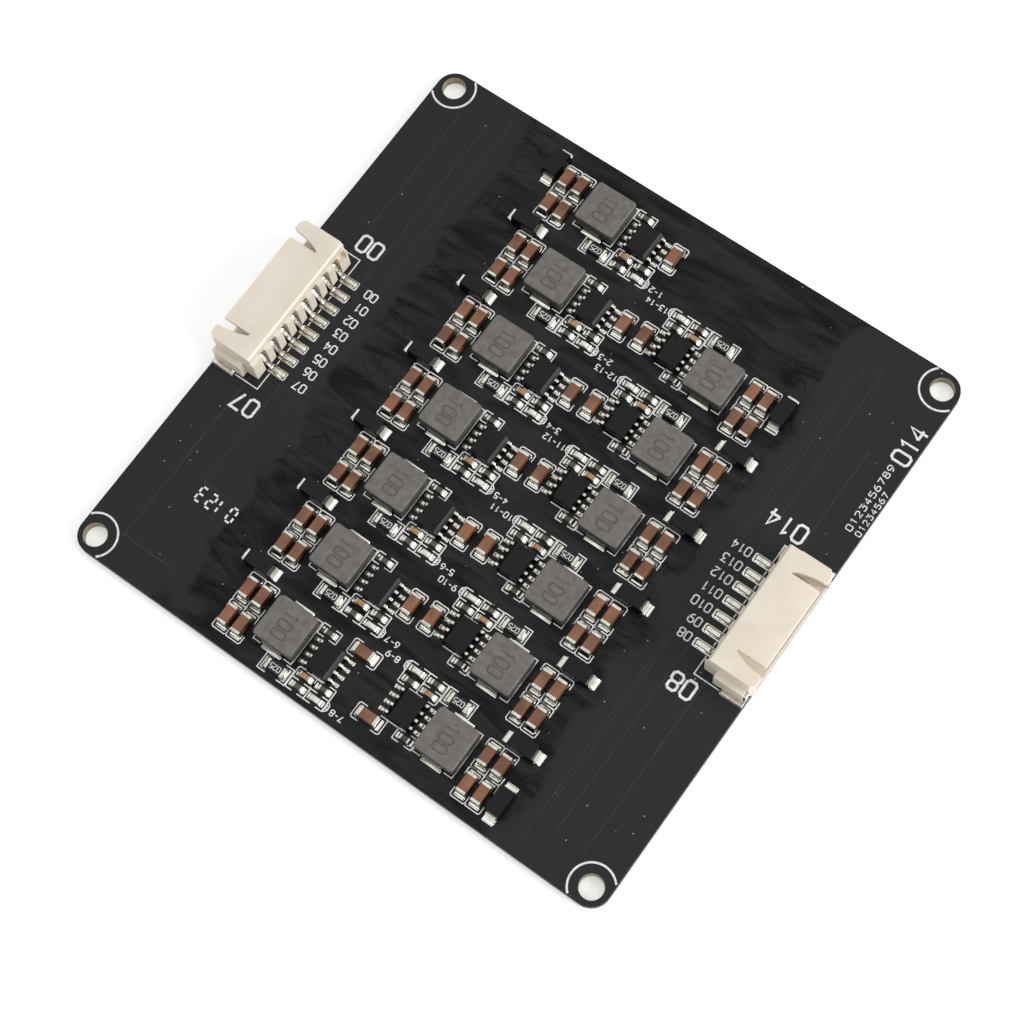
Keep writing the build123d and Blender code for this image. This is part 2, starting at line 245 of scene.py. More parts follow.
def facedOut(mesh, merged=False):
    # Faces turned outwards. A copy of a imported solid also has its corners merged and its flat
    # faces made whole.
    work = bmesh.new()
    work.from_mesh(mesh)
    if merged:
        bmesh.ops.remove_doubles(work, verts=work.verts, dist=0.002 * mm)
        bmesh.ops.dissolve_limit(
            work, angle_limit=math.radians(1), verts=work.verts, edges=work.edges
        )
    bmesh.ops.recalc_face_normals(work, faces=work.faces)
    work.to_mesh(mesh)
    work.free()
    mesh.shade_smooth()


def placed(piece, material, replaced=(), weighted=True):
    # Gives a piece its finish, links it into the scene under the root body and hides the parts it
    # replaces
    if weighted:
        finish = piece.modifiers.new("flat faces stay flat", "WEIGHTED_NORMAL")
        finish.keep_sharp = True
    piece.data.materials.clear()
    piece.data.materials.append(material)
    scene.collection.objects.link(piece)
    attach(piece, "root")
    if replaced:
        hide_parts(*replaced)


def addPiece(name, shape, material, replaced=(), sharpAngle=35, weighted=True):
    # A new surface, in metres, whose edges past the sharp angle stay crisp
    points, faceArrays = shape
    mesh = bpy.data.meshes.new(name)
    faces = [face for array in faceArrays for face in array.tolist()]
    mesh.from_pydata((points * mm).tolist(), [], faces)
    facedOut(mesh)
    mesh.set_sharp_from_angle(angle=math.radians(sharpAngle))
    piece = bpy.data.objects.new(name, mesh)
    placed(piece, material, replaced, weighted)


def bevelledCopy(nodeName, name, material, width, segments=2):
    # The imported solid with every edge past 30 degrees rounded
    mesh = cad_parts[nodeName].data.copy()
    mesh.name = name
    facedOut(mesh, merged=True)
    piece = bpy.data.objects.new(name, mesh)
    bevel = piece.modifiers.new("moulded edges", "BEVEL")
    bevel.width, bevel.segments = width * mm, segments
    bevel.limit_method, bevel.angle_limit = "ANGLE", math.radians(30)
    bevel.use_clamp_overlap = True
    placed(piece, material, [nodeName])


def hexColour(text):
    # sRGB to linear: below 0.04045 divided by 12.92, above it a power of 2.4
    channels = np.array([int(text[start : start + 2], 16) for start in (1, 3, 5)]) / 255
    linear = np.where(channels <= 0.04045, channels / 12.92, ((channels + 0.055) / 1.055) ** 2.4)
    return (*linear.tolist(), 1.0)


def addNode(tree, kind, settings=None, links=None):
    # A setting is a socket's value or an option of the node. A link comes from a socket, or
    # from another node's first one.
    node = tree.nodes.new("ShaderNode" + kind)
    for name, value in (settings or {}).items():
        if isinstance(name, int) or name in node.inputs:
            node.inputs[name].default_value = value
        else:
            setattr(node, name, value)
    for name, source in (links or {}).items():
        socket = source.outputs[0] if hasattr(source, "outputs") else source
        tree.links.new(socket, node.inputs[name])
    return node


def startMaterial(name, sockets):
    # The shader's uniform values are set on its own sockets
    material = bpy.data.materials.new(name)
    material.use_nodes = True
    tree = material.node_tree
    shader = tree.nodes["Principled BSDF"]
    for socket, value in sockets.items():
        shader.inputs[socket].default_value = value
    coordinates = addNode(tree, "TexCoord").outputs["Object"]
    return material, tree, shader, coordinates


def perMetre(millimetres):
    # Texture scale whose pattern repeats about once in this many millimetres
    return 1000 / millimetres


def wandering(tree, coordinates, size, ends, detail=2.0, spread=(0.3, 0.7), twist=0.0):
    # Noise of this size in millimetres, whose spread is stretched between two end values
    noise = addNode(
        tree, "TexNoise", {"Scale": perMetre(size), "Detail": detail, "Distortion": twist},
        {"Vector": coordinates},
    )
    (start, end), (low, high) = spread, ends
    ranged = {"From Min": start, "From Max": end, "To Min": low, "To Max": high}
    return addNode(tree, "MapRange", ranged, {"Value": noise}).outputs["Result"]


def mottled(tree, coordinates, colours, size, detail=3.0):
    # Two colours mixed by noise of this size in millimetres
    share = wandering(tree, coordinates, size, (0, 1), detail, (0.35, 0.65))
    ends = {6: hexColour(colours[0]), 7: hexColour(colours[1])}
    return addNode(tree, "Mix", {"data_type": "RGBA", **ends}, {0: share}).outputs[2]


def grained(tree, shader, coordinates, size, depth, detail=3.0, under=None):
    # Fine relief: noise of this size and depth in millimetres, as bump on what lies under it
    noise = addNode(
        tree, "TexNoise", {"Scale": perMetre(size), "Detail": detail}, {"Vector": coordinates}
    )
    below = {"Normal": under} if under else {}
    bump = addNode(tree, "Bump", {"Distance": depth * mm}, {"Height": noise, **below})
    tree.links.new(bump.outputs["Normal"], shader.inputs["Normal"])


soldermaskLook = {
    "bare": "#1a1b1c",
    "coated": "#08080a",
    "roughness": (0.55, 0.36),    # bare, then coated
    "specular": 0.28,
    "grain": (0.35, 0.003),
    "coatLeft": -30.0,
    "coatRight": 29.0,
    "coatEdge": 1.2,
    "coatWander": (5.0, 9.0),    # how far the coat's borders swing, and over what length
    "brushed": (0.12, 0.29),    # least and most gloss of a brush stroke
    "strokeWidth": 2.6,
    "strokeLength": 11.0,
    "streakSize": 3.5,
    "streakDepth": 0.05,
    "poolSize": 6.0,
    "poolStart": 17.0,
    "poolEnd": 25.0,
    "poolRise": 0.9,
    "poolFloor": 0.1,
    # near black painted shade along the pool rims
    "rim": "#020203",
    "rimWidth": 0.022,
    "dust": "#a8a7a4",
    "dustSpacing": 1.7,
    "dustSize": (0.075, 0.035),
    "dustLeftOut": 0.68,
}


def makeSoldermask(values):
    # Screen-printed epoxy soldermask, satin, under a brushed clear coat that covers the middle:
    # the coat makes it darker and glossier, with wavy borders, streaks and a little dust, and
    # towards its borders it dried in pools, whose rims stand up as thin wandering ridges; along
    # the rims the colour is painted near black, as painted shade of the ridges
    material, tree, shader, coordinates = startMaterial("satin soldermask", {"IOR": 1.5})
    times, unsigned = {"operation": "MULTIPLY"}, {"operation": "ABSOLUTE"}
    here = {"Vector": coordinates}
    place = addNode(tree, "SeparateXYZ", None, here)
    swing, swingLength = values["coatWander"]
    shift = wandering(tree, coordinates, swingLength, (-swing / 2 * mm, swing / 2 * mm))
    moved = addNode(tree, "Math", {"operation": "ADD"}, {0: place.outputs["X"], 1: shift})
    inside = []
    for border, sign in ((values["coatLeft"], 1), (values["coatRight"], -1)):
        half = sign * values["coatEdge"] / 2
        edge = {"From Min": (border - half) * mm, "From Max": (border + half) * mm}
        inside.append(addNode(tree, "MapRange", edge, {"Value": moved}))
    coat = addNode(tree, "Math", times, {0: inside[0], 1: inside[1]})
    masks = {6: hexColour(values["bare"]), 7: hexColour(values["coated"])}
    colour = addNode(tree, "Mix", {"data_type": "RGBA", **masks}, {0: coat})

    # Dust: a round speck in the middle of some of the cells
    cells = addNode(tree, "TexVoronoi", {"Scale": perMetre(values["dustSpacing"])}, here)
    farthest, nearest = values["dustSize"]
    fade = {"From Min": farthest, "From Max": nearest}
    speck = addNode(tree, "MapRange", fade, {"Value": cells.outputs["Distance"]})
    pick = addNode(tree, "SeparateColor", None, {"Color": cells.outputs["Color"]})
    limit = {"operation": "GREATER_THAN", 1: values["dustLeftOut"]}
    chosen = addNode(tree, "Math", limit, {0: pick.outputs["Red"]})
    dust = addNode(tree, "Math", times, {0: speck, 1: chosen})
    pale = {"data_type": "RGBA", 7: hexColour(values["dust"])}
    dusted = addNode(tree, "Mix", pale, {0: dust, 6: colour.outputs[2]})

    # Brush strokes: noise drawn out along X, which the coat's gloss follows
    drawnOut = {"Scale": (values["strokeWidth"] / values["strokeLength"], 1, 1)}
    drawn = addNode(tree, "Mapping", drawnOut, here)
    brushed = wandering(
        tree, drawn, values["strokeWidth"], values["brushed"], 3.0, (0.36, 0.62), 0.9
    )
    plain = {"data_type": "FLOAT", 2: values["specular"]}
    sheen = addNode(tree, "Mix", plain, {0: coat, 3: brushed})
    tree.links.new(sheen.outputs[0], shader.inputs["Specular IOR Level"])
    dull, glossy = values["roughness"]
    gloss = addNode(tree, "MapRange", {"To Min": dull, "To Max": glossy}, {"Value": coat})
    tree.links.new(gloss.outputs["Result"], shader.inputs["Roughness"])

    # Pools: their rims run where noise crosses its middle value, and fade out inwards
    twisted = {"Scale": perMetre(values["poolSize"]), "Detail": 2.5, "Distortion": 0.8}
    pools = addNode(tree, "TexNoise", twisted, here)
    level = addNode(tree, "Math", {"operation": "SUBTRACT", 1: 0.5}, {0: pools})
    nearRim = addNode(tree, "Math", unsigned, {0: level})
    narrow = {"From Min": values["rimWidth"], "From Max": 0.0}
    rim = addNode(tree, "MapRange", narrow, {"Value": nearRim})
    across = addNode(tree, "Math", unsigned, {0: place.outputs["X"]})
    poolRange = {
        "From Min": values["poolStart"] * mm,
        "From Max": values["poolEnd"] * mm,
        "To Min": values["poolFloor"],
    }
    outer = addNode(tree, "MapRange", poolRange, {"Value": across})
    rimHere = addNode(tree, "Math", times, {0: rim, 1: outer})
    coatRim = addNode(tree, "Math", times, {0: rimHere, 1: coat})
    # The rims' near black is painted shade of the ridges, not the coat's own colour
    paintedRimShade = {"data_type": "RGBA", 7: hexColour(values["rim"])}
    rimShaded = addNode(tree, "Mix", paintedRimShade, {0: coatRim, 6: dusted.outputs[2]})
    tree.links.new(rimShaded.outputs[2], shader.inputs["Base Color"])

    # Relief: wet streaks with the rims on top, and the mask's own grain over both
    flowing = {"Scale": perMetre(values["streakSize"]), "Detail": 4.0, "Distortion": 1.5}
    streaks = addNode(tree, "TexNoise", flowing, here)
    wet = addNode(tree, "Math", times, {0: streaks, 1: coat})
    raised = {"operation": "MULTIPLY_ADD", 1: values["poolRise"]}
    height = addNode(tree, "Math", raised, {0: coatRim, 2: wet})
    low = addNode(tree, "Bump", {"Distance": values["streakDepth"] * mm}, {"Height": height})
    grained(tree, shader, coordinates, *values["grain"], 2.0, low)
    return material


def makeTin(name, colours, gloss, size, depth):
    # Soft bright metal whose surface froze a little uneven: patches of gloss and a slow ripple
    material, tree, shader, coordinates = startMaterial(name, {"Metallic": 1.0})
    tree.links.new(mottled(tree, coordinates, colours, size), shader.inputs["Base Color"])
    tree.links.new(wandering(tree, coordinates, size, gloss), shader.inputs["Roughness"])
    grained(tree, shader, coordinates, size, depth, 1.0)
    return material


def makeBody(name, colours, size, roughness, grain, sockets=None):
    # A moulded, fired or printed body: two close colours in patches, with a fine grain whose
    # size and depth are in millimetres
    material, tree, shader, coordinates = startMaterial(
        name, {"Roughness": roughness, "IOR": 1.5, **(sockets or {})}
    )
    tree.links.new(mottled(tree, coordinates, colours, size), shader.inputs["Base Color"])
    grained(tree, shader, coordinates, *grain)
    return material


def makeIronPowder(topLevel, values):
    # Pressed iron powder: grey-brown paint worn into grains on the top; the sides darker, partly
    # their own bare colour and partly painted shade
    material, tree, shader, coordinates = startMaterial(
        "pressed iron powder", {"Roughness": 0.65, "IOR": 1.5, "Specular IOR Level": 0.4}
    )
    top = mottled(tree, coordinates, values["topColours"], 1.1, 8.0)
    # The sides' darker colours are partly the bare core and partly painted shade
    side = mottled(tree, coordinates, values["sideCoatAndShadeColours"], 0.6)
    place = addNode(tree, "SeparateXYZ", None, {"Vector": coordinates})
    low, high = ((topLevel - drop) * mm for drop in values["paintEdge"])
    edge = {"From Min": low, "From Max": high}
    upper = addNode(tree, "MapRange", edge, {"Value": place.outputs["Z"]})
    mix = addNode(tree, "Mix", {"data_type": "RGBA"}, {0: upper, 6: side, 7: top})
    tree.links.new(mix.outputs[2], shader.inputs["Base Color"])
    grained(tree, shader, coordinates, *values["grain"])
    return material


soldermask = makeSoldermask(soldermaskLook)
# The mask lies smoother and a shade lighter where a copper edge lifts it
maskedCopper = makeBody(
    "soldermask over copper", ("#222324", "#292a2c"), 2.0, 0.5, (0.35, 0.003),
    {"Specular IOR Level": 0.25},
)
# White epoxy ink from a mesh: matte, thinner in spots
ink = makeBody("white printing ink", ("#cdcecd", "#ebebe9"), 0.5, 0.6, (0.2, 0.003))
# Matte tin plate on stamped copper: pale grey with soft reflections
tin = makeTin("tin plate", ("#b9b4aa", "#d6d1c8"), (0.13, 0.24), 0.7, 0.0015)
# The inductors' strips: tin in a dark greenish grey, a painted reflection of the inductors' dark
# sides that the strips face
darkReflectionTin = makeTin("strip tin with painted reflection", ("#6a685d", "#86847a"), (0.22, 0.34), 0.7, 0.0015)
# Reflowed solder: brighter than the plate, with a smooth frozen skin
solder = makeTin("reflowed solder", ("#c3c3b8", "#dedcd2"), (0.07, 0.16), 1.1, 0.003)
# Transfer-moulded epoxy: near black, dull, finely pitted
epoxy = makeBody(
    "moulded black epoxy", ("#050506", "#0b0b0c"), 1.2, 0.32, (0.12, 0.001),
    {"Specular IOR Level": 0.21},
)
# Ceramic fired in layers: waxy brown, one chip a little redder than the next
brownCeramic = makeBody("brown fired ceramic", ("#643f29", "#8c5b3c"), 4.0, 0.38, (0.2, 0.003))
# The same kind of chip in a paler mix: tan, with a soft waxy gloss
tanCeramic = makeBody("tan fired ceramic", ("#906d47", "#ae865a"), 0.8, 0.38, (0.2, 0.003))
# Fired resistor coat: a dull grey-green skin over the track
resistGlaze = makeBody("grey green glaze", ("#33332e", "#4c4c45"), 0.5, 0.35, (0.2, 0.003))
# Glass overcoat: black with a broad soft gloss
blackGlaze = makeBody(
    "black glass glaze", ("#151516", "#202021"), 0.8, 0.36, (0.3, 0.003),
    {"Specular IOR Level": 0.35},
)
# Cast resin over the light source: milky, with a soft glow at its thin edges
lens = makeBody(
    "milky resin", ("#dfdfd0", "#ebeadf"), 0.7, 0.3, (0.3, 0.003), {"Subsurface Weight": 0.1}
)
# Injection-moulded nylon: ivory, satin, slightly see-through at thin walls
nylon = makeBody(
    "moulded ivory nylon", ("#dfd1be", "#e7dac9"), 6.0, 0.45, (0.3, 0.003),
    {"Subsurface Weight": 0.12},
)
# Marking ink on the rough top: warm grey, matte
darkInk = makeBody("grey marking ink", ("#504c49", "#5b5753"), 0.5, 0.75, (0.15, 0.003))
# Cut glass fibre and resin in the hole's wall: olive tan with paler threads
laminate = makeBody("bare glass laminate", ("#746a4a", "#968a66"), 0.4, 0.5, (0.1, 0.005))
print("materials made")


boardLook = {
    "edge": 0.07,
    "copperRise": 0.02,
    "holeRadius": 1.85,
    "holeWall": 0.06,
    "holeWallEnd": 0.02,    # the liner ends this far inside both faces
    "holeInset": 2.75,
    "holeSteps": 48,
}
# Edges of the copper under the mask, each with its width and its corners
copperEdges = [
    (0.4, [(-40.3, 41.0), (-40.3, -41.3), (-30.4, -41.3)]),
    (0.3, [(-35.75, 42.0), (-35.75, -28.4), (-31.4, -28.4)]),
    (0.25, [(-32.9, 44.0), (-32.9, 12.0)]),
    (0.25, [(32.2, -44.0), (32.2, 38.0)]),
    (0.25, [(32.8, -40.0), (32.8, 40.0)]),
    (0.3, [(35.4, -40.0), (35.4, 41.0), (30.5, 41.0)]),
    (0.4, [(40.3, -41.0), (40.3, 30.0)]),
]
bevelledCopy(
    "circuit_board", "laminateBoard", soldermask, boardLook["edge"], 1
)
copperTop = boardTop + boardLook["copperRise"]
copperShapes = [inkLine(corners, width, boardTop, copperTop) for width, corners in copperEdges]
addPiece("coveredCopper", joined(copperShapes), maskedCopper)


def holeLiner(low, high):
    # A tube: four circles, outer low, outer high, inner high and inner low, closed on itself
    turn = np.linspace(0, 2 * np.pi, boardLook["holeSteps"], endpoint=False)
    outer, inner = boardLook["holeRadius"], boardLook["holeRadius"] - boardLook["holeWall"]
    rows = np.array([(outer, low), (outer, high), (inner, high), (inner, low)])
    x = np.cos(turn)[:, None] * rows[:, 0]
    y = np.sin(turn)[:, None] * rows[:, 0]
    return loopedRings(np.stack((x, y, np.broadcast_to(rows[:, 1], x.shape)), axis=-1))


holeX, holeY = boardHigh[:2] - boardLook["holeInset"]
holePlaces = [(sx * holeX, sy * holeY, 0, 0) for sx in (-1, 1) for sy in (-1, 1)]
liner = holeLiner(boardLow[2] + boardLook["holeWallEnd"], boardTop - boardLook["holeWallEnd"])
addPiece("holeWalls", copies(liner, holePlaces), laminate)
print("board made")


def standing(boxes, turns=0.0):
    # A place on the board's top face under the middle of each box
    levels = np.full(len(boxes), boardTop)
    return np.column_stack((boxes.mean(axis=1)[:, :2], levels, np.broadcast_to(turns, len(boxes))))


def chipPlaces(bodyNodes, capNode):
    # Centre, turn and full size of each chip: the body's box, longer by two end bands
    bodies = np.concatenate([solidBoxes(name) for name in bodyNodes])
    caps = solidBoxes(capNode)
    band = (caps[0, 1] - caps[0, 0])[:2].min()
    spans = bodies[:, 1] - bodies[:, 0]
    size = {
        "length": spans[0, :2].max() + 2 * band,
        "width": (caps[0, 1] - caps[0, 0])[:2].max(),
        "height": caps[0, 1, 2] - boardTop,
        "bodyWidth": spans[0, :2].min(),
        "bodyHeight": bodies[0, 1, 2] - boardTop,
        "bodyLift": bodies[0, 0, 2] - boardTop,
        "band": band,
    }
    return standing(bodies, np.where(spans[:, 0] > spans[:, 1], 90.0, 0.0)), size


def bodyShape(size, edge, band=None):
    overlap = 0.04    # the body runs a hair into both end bands, so that no gap shows
    length = size["length"] - 2 * (band or size["band"]) + overlap
    return roundBlock(size["bodyWidth"], length, size["bodyLift"], size["bodyHeight"], edge)


def endShape(size, edge, band=None):
    # Both metal ends of a chip that lies along Y
    band = band or size["band"]
    reach = (size["length"] - band) / 2
    block = roundBlock(size["width"], band, 0, size["height"], edge)
    return copies(block, [(0, reach, 0, 0), (0, -reach, 0, 0)])


def padPair(size, padWidth, padReach, peak):
    # Solder at both ends of a chip that lies along Y, from under the end to the pad's edge
    half, under = size["length"] / 2, 0.02
    start = half - size["band"]
    pad = solderPad(
        (-padWidth / 2, start), (padWidth / 2, padReach),
        (-size["width"] / 2, start + under), (size["width"] / 2, half), peak,
    )
    return joined([pad, copies(pad, [(0, 0, 0, 180)])])


def channelBoxes(kind):
    # The nodes of the thirteen parts of one kind, their boxes, and the size of the first
    names = [f"{kind}_{number:02d}" for number in range(1, 14)]
    boxes = np.array([solidBoxes(name)[0] for name in names])
    return names, boxes, boxes[0, 1] - boxes[0, 0]


chipLooks = {
    # For each kind: the CAD nodes, the body's edge and finish, the end's edge and visible
    # band, then the pad's width, reach from the centre and solder height
    "capacitor": {
        "nodes": (channelBoxes("capacitors")[0], "capacitor_end_caps"),
        "body": (0.07, brownCeramic, "brown_ceramic"),
        "end": (0.11, None),
        "pad": (1.8, 2.1, 0.42),
    },
    "resistor": {
        "nodes": (["chip_resistors"], "chip_resistor_end_caps"),
        "body": (0.03, resistGlaze, "black_glaze"),
        "end": (0.05, None),
        "pad": (0.95, 1.35, 0.3),
    },
    "bypass": {
        "nodes": (["bypass_capacitors"], "bypass_capacitor_end_caps"),
        "body": (0.07, tanCeramic, "tan_ceramic"),
        "end": (0.07, 0.2),
        "pad": (0.95, 1.35, 0.35),
    },
    "shunt": {
        "nodes": (["sense_resistors"], "sense_resistor_end_caps"),
        "body": (0.05, blackGlaze, "black_glaze"),
        "end": (0.07, None),
        "pad": (2.0, 2.1, 0.35),
    },
}
places, sizes, solderShapes = {}, {}, []
for kind, look in chipLooks.items():
    bodyNodes, endNode = look["nodes"]
    places[kind], sizes[kind] = chipPlaces(bodyNodes, endNode)
    bodyEdge, finish, slotName = look["body"]
    endEdge, band = look["end"]
    body = copies(bodyShape(sizes[kind], bodyEdge, band), places[kind])
    addPiece(f"{kind}Bodies", body, finish, bodyNodes)
    ends = copies(endShape(sizes[kind], endEdge, band), places[kind])
    addPiece(f"{kind}Ends", ends, tin, [endNode])
    solderShapes.append(copies(padPair(sizes[kind], *look["pad"]), places[kind]))

indicatorLook = {
    "plate": (1.5, 0.02, 0.01, 0.03),    # length, gap below, step down at the top, edge
    "dome": (0.72, 1.0, 0.12, 0.2),    # width, length, edge, level where it starts
    "endEdge": 0.04,
    "pad": (0.95, 1.35, 0.22),
}
places["indicator"], sizes["indicator"] = chipPlaces(["indicators"], "indicator_end_caps")
size, spots = sizes["indicator"], places["indicator"]
plateLength, below, stepDown, edge = indicatorLook["plate"]
plate = roundBlock(size["width"], plateLength, below, size["height"] - stepDown, edge)
domeWidth, domeLength, edge, start = indicatorLook["dome"]
dome = roundBlock(domeWidth, domeLength, start, size["bodyHeight"], edge, 3)
lenses = copies(joined([plate, dome]), spots)
addPiece("indicatorLenses", lenses, lens, ["indicators"])
ends = copies(endShape(size, indicatorLook["endEdge"]), spots)
addPiece("indicatorPads", ends, tin, ["indicator_end_caps"])
solderShapes.append(copies(padPair(size, *indicatorLook["pad"]), spots))
print("chips made")


stripLook = {"thickness": 0.25, "edge": 0.04}


def foldedStrip(foot, height, width, bend):
    # A strip that lies on the board from its foot to the body's side, and then stands up there
    lift = stripLook["thickness"] / 2
    path = roundPath([(foot, lift), (lift, lift), (lift, height)], bend)
    return carriedBar(path, width, stripLook["thickness"], stripLook["edge"])


inductorLook = {
    "cornerRadius": 0.5,
    "topEdge": 0.24,
    "footEdge": 0.06,
    "topColours": ("#625e5b", "#726e6a"),
    # Side colours: darker partly by their own colour and partly as painted shade
    "sideCoatAndShadeColours": ("#3a3835", "#504d49"),
    "paintEdge": (0.3, 0.14),    # how far below the top the paint starts, and is whole
    "grain": (0.16, 0.01),
    "terminalBend": 0.18,
    "nearFoot": 0.34,
    "farFoot": 0.3,
    "padWidth": 3.5,
    "padMargin": 0.08,
    "padStart": 0.1,
    "footStart": 0.2,
    "padReach": 0.72,
    "padRise": 0.16,
    "padHollow": 1.3,
}
inductorNames, inductorBoxes, inductorSize = channelBoxes("inductor")
ironPowder = makeIronPowder(inductorBoxes[0, 1, 2], inductorLook)
topEdge, footEdge = inductorLook["topEdge"], inductorLook["footEdge"]
angle = np.linspace(0, np.pi / 2, 5)
insets = np.concatenate(([footEdge, 0.0], topEdge * (1 - np.cos(angle))))
heights = np.concatenate(([0.0, footEdge], inductorSize[2] - topEdge * (1 - np.sin(angle))))
inductorPlaces = standing(inductorBoxes)
body = ringedBody(*inductorSize[:2], inductorLook["cornerRadius"], 5, insets, heights)
bodies = copies(body, inductorPlaces)
addPiece("inductorBodies", bodies, ironPowder, inductorNames)

terminalBox = solidBoxes("inductor_terminals")[0]
terminalWidth, _, terminalHeight = terminalBox[1] - terminalBox[0]
half = inductorSize[1] / 2
padSide = inductorLook["padWidth"] / 2
footSide = padSide - inductorLook["padMargin"]
terminals = []
for name, end, turned in (("farFoot", 1, 0.0), ("nearFoot", -1, 180.0)):
    foot = inductorLook[name]
    bar = foldedStrip(foot, terminalHeight, terminalWidth, inductorLook["terminalBend"])
    pad = solderPad(
        (-padSide, inductorLook["padStart"]), (padSide, inductorLook["padReach"]),
        (-footSide, inductorLook["footStart"]), (footSide, foot),
        inductorLook["padRise"], inductorLook["padHollow"],
    )
    spots = inductorPlaces + (0, end * half, 0, turned)
    terminals.append(copies(bar, spots))
    solderShapes.append(copies(pad, spots))
# The strips' darker tin stands for a painted reflection of the bodies' dark sides
addPiece(
    "inductorTerminals", joined(terminals), darkReflectionTin, ["inductor_terminals"]
)
print("inductors made")


controllerLook = {
    "draft": 7.0,
    "edge": 0.09,
    "bevel": 0.3,
    "bevelFoot": 1.6,
    "cornerRadius": 0.2,
    "dimple": (0.75, -1.75),
    "dimpleRadius": 0.33,
    "dimpleDepth": 0.12,
    "dimpleRings": ((1.0, 0.0), (0.92, 0.35), (0.75, 0.85), (0.5, 1.0)),    # shares of both
    "shoulder": 0.4,
    "reach": 1.15,
    "slope": 0.22,
    "thickness": 0.2,
    "width": 0.42,
    "leadEdge": 0.03,
    "bend": 0.12,
    "padSide": 0.3,
    "padBack": 0.1,
    "padAhead": 0.4,
    "padFoot": 0.22,
    "padRise": 0.16,
}
controllerNames, controllerBoxes, controllerSize = channelBoxes("controller")
lowest = controllerBoxes[0, 0, 2] - boardTop
tall = controllerSize[2]
parting = lowest + tall / 2


def controllerBody():
    # Outline rings from the bottom up: in at the bottom, out at the parting line, in at the top.
    # On the marked side X is held to a line that leans in from the parting line to the bevel's
    # foot, and then leans in as fast as it rises. The top runs on to a round dimple: rings of
    # directions from its centre, each one narrower and lower.
    width, length = controllerSize[:2]
    outline = roundRectangle(width, length, controllerLook["cornerRadius"])
    taper = math.tan(math.radians(controllerLook["draft"])) * tall / 2
    edge, bevel, top = controllerLook["edge"], controllerLook["bevel"], lowest + tall
    start = top - bevel
    leaned = taper * (start - parting) / (tall / 2)
    insets = [taper, 0.0, leaned, taper, taper + edge * 0.3, taper + edge]
    heights = [lowest, parting, start, top - edge, top - edge * 0.3, top]
    rings = ringsOf(outline, insets, heights)
    foot = controllerLook["bevelFoot"]
    levels, held = (lowest, parting, start, top), (width / 2, width / 2, foot, foot - bevel)
    rings[..., 0] = np.minimum(rings[..., 0], np.interp(rings[..., 2], levels, held))
    centre = np.array(controllerLook["dimple"])
    away = rings[-1, :, :2] - centre
    away /= np.linalg.norm(away, axis=1, keepdims=True)
    shares, drops = np.array(controllerLook["dimpleRings"]).T
    flat = centre + away[None] * (controllerLook["dimpleRadius"] * shares)[:, None, None]
    down = (top - controllerLook["dimpleDepth"] * drops)[:, None, None]
    dimple = np.concatenate((flat, np.broadcast_to(down, (*flat.shape[:2], 1))), axis=-1)
    return cappedRings(np.concatenate((rings, dimple)))


controllerPlaces = standing(controllerBoxes, np.where(controllerBoxes[:, 0, 0] < 0, 0.0, 180.0))
bodies = copies(controllerBody(), controllerPlaces)
addPiece("controllerBodies", bodies, epoxy, controllerNames, sharpAngle=25)
shoulder, reach, leadWidth, leadThickness = (
    controllerLook[name] for name in ("shoulder", "reach", "width", "thickness")
)
ankle, footLevel = shoulder + controllerLook["slope"], leadThickness / 2 + 0.01
leadPath = roundPath(
    [(-0.1, parting), (shoulder, parting), (ankle, footLevel), (reach, footLevel)],
    controllerLook["bend"], 3,
)
lead = carriedBar(leadPath, leadWidth, leadThickness, controllerLook["leadEdge"])
owners = controllerBoxes.mean(axis=1)[:, :2]
leadPlaces = []
for middle in solidBoxes("controller_leads").mean(axis=1)[:, :2]:
    owner = owners[np.argmin(np.hypot(*(owners - middle).T))]
    side = 1 if middle[0] > owner[0] else -1
    outward = owner[0] + side * controllerSize[0] / 2
    leadPlaces.append((outward, middle[1], boardTop, -90.0 * side))
addPiece("controllerLeads", copies(lead, leadPlaces), tin, ["controller_leads"])
padSide, padFoot = controllerLook["padSide"], controllerLook["padFoot"]
leadPad = solderPad(
    (-padSide, ankle - controllerLook["padBack"]), (padSide, reach + controllerLook["padAhead"]),
    (-padFoot, ankle), (padFoot, reach), controllerLook["padRise"],
)
solderShapes.append(copies(leadPad, leadPlaces))
print("controllers made")


diodeLook = {
    "draft": 6.0,
    "parting": 1.0,
    "edge": 0.1,
    "footEdge": (0.05, 0.06),    # inset, then height
    "cornerRadius": 0.22,
    "stripBend": 0.15,
    "padInner": 0.2,
    "padOuter": 1.15,
    "padMargin": 0.08,
    "padRise": 0.27,
}
diodeBoxes = solidBoxes("diodes")
diodeSpans = diodeBoxes[:, 1] - diodeBoxes[:, 0]
diodeLength, diodeWidth = diodeSpans[0, :2].max(), diodeSpans[0, :2].min()
tall, edge, parting = diodeSpans[0, 2], diodeLook["edge"], diodeLook["parting"]
diodePlaces = standing(diodeBoxes, np.where(diodeSpans[:, 0] > diodeSpans[:, 1], 90.0, 0.0))
taper = math.tan(math.radians(diodeLook["draft"])) * (tall - parting)
footInset, footHeight = diodeLook["footEdge"]
insets = [footInset, 0.0, 0.0, taper * 0.9, taper + edge * 0.25, taper + edge]
heights = [0.0, footHeight, parting, tall - edge, tall - edge * 0.3, tall]
body = ringedBody(diodeWidth, diodeLength, diodeLook["cornerRadius"], 3, insets, heights)
addPiece("diodeBodies", copies(body, diodePlaces), epoxy, ["diodes"])
stripBox = solidBoxes("diode_leads")[0]
stripSize = stripBox[1] - stripBox[0]
stripWidth, stripFoot = stripSize[:2].max(), stripSize[:2].min()
strip = foldedStrip(stripFoot, stripSize[2], stripWidth, diodeLook["stripBend"])
side, margin = stripWidth / 2, diodeLook["padMargin"]
